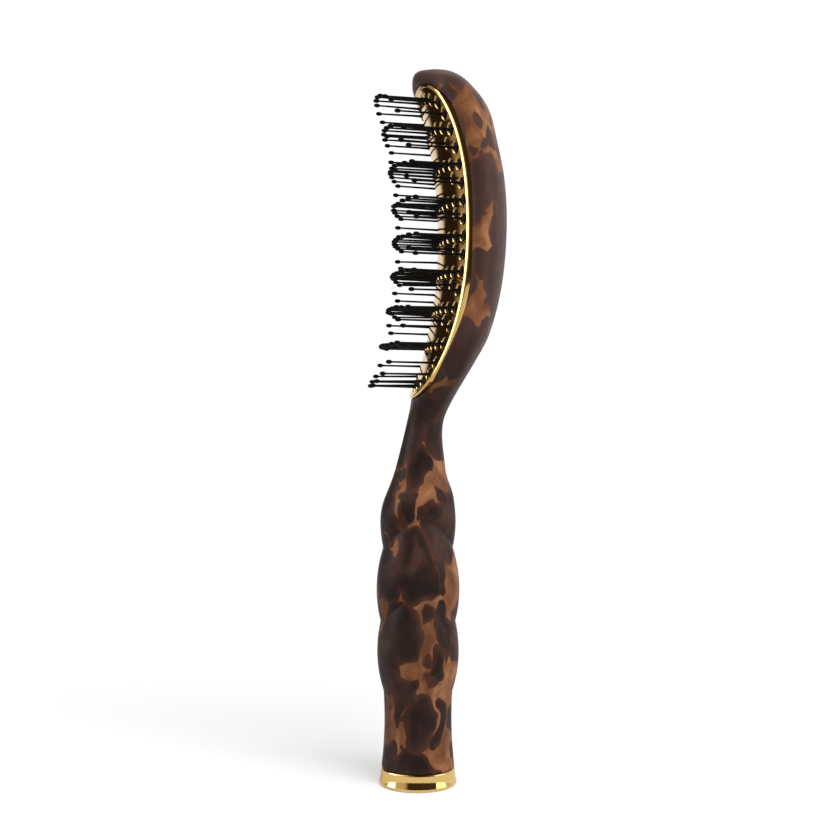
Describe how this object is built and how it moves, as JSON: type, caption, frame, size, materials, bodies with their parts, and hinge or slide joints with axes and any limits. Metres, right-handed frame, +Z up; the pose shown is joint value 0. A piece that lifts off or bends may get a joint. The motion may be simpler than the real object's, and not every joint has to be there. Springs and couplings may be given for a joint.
{
  "type": "vanity hairbrush",
  "caption": "Upright vanity hairbrush: bulbed handle on a metal cap, curved oval head with a drilled metallic face plate and rows of ball-tipped pins.",
  "frame": {"origin": "centre of the base cap's underside, on the surface that the brush stands on", "axes": "+Z up along the handle, the pins point towards -X, Y is the width of the head"},
  "size_m": [0.046, 0.064, 0.24],
  "materials": {
    "tortoiseshell": "satin-gloss dark brown plastic with amber patches",
    "gold_plastic": "mirror-polished gold plating on plastic",
    "gold_metal": "mirror-polished gold-coloured metal",
    "black_nylon": "satin black nylon",
    "black_plastic": "matte black plastic",
    "inner_plastic": "moulded brown plastic",
    "weight_steel": "turned steel",
    "screw_steel": "zinc-plated steel",
    "soft_pad": "matte black rubber"
  },
  "bodies": {
    "root": {"back_shell": "tortoiseshell", "front_shell": "tortoiseshell", "face_plate": "gold_plastic", "rim_trim": "gold_plastic", "bristle_board": "black_plastic", "bristle_row_1": "black_nylon", "bristle_row_2": "black_nylon", "bristle_row_3": "black_nylon", "bristle_row_4": "black_nylon", "bristle_row_5": "black_nylon", "bristle_row_6": "black_nylon", "bristle_row_7": "black_nylon", "bristle_row_8": "black_nylon", "bristle_row_9": "black_nylon", "side_bristles_left": "black_nylon", "side_bristles_right": "black_nylon", "locating_pegs": "inner_plastic", "handle_weight": "weight_steel", "weight_sleeve": "inner_plastic", "base_plug": "inner_plastic", "base_cap": "gold_metal", "cap_screw": "screw_steel", "base_pad": "soft_pad"}
  },
  "joints": []
}
